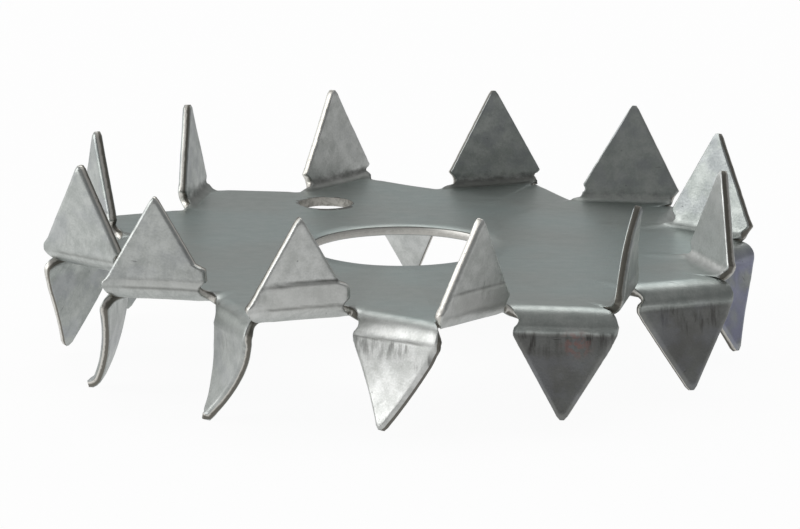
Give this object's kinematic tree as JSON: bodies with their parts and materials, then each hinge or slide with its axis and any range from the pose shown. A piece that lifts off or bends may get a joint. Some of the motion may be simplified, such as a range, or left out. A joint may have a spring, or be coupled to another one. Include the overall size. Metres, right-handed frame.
{
  "type": "toothed timber connector",
  "caption": "Flat round steel timber connector with a central bolt hole, a nail hole and a ring of triangular teeth folded alternately up and down.",
  "frame": {"origin": "centre of the bolt hole, half way through the sheet", "axes": "+Z along the bolt hole towards the upper teeth, +X through the lower tooth numbered 0; it stands on its lower teeth"},
  "size_m": [0.051, 0.051, 0.0147],
  "materials": {
    "zinc_plated_steel": "dull bright zinc plating with rolling marks, burnished folds and darker sheared edges"
  },
  "bodies": {
    "root": {"toothed_plate": "zinc_plated_steel"}
  },
  "joints": []
}
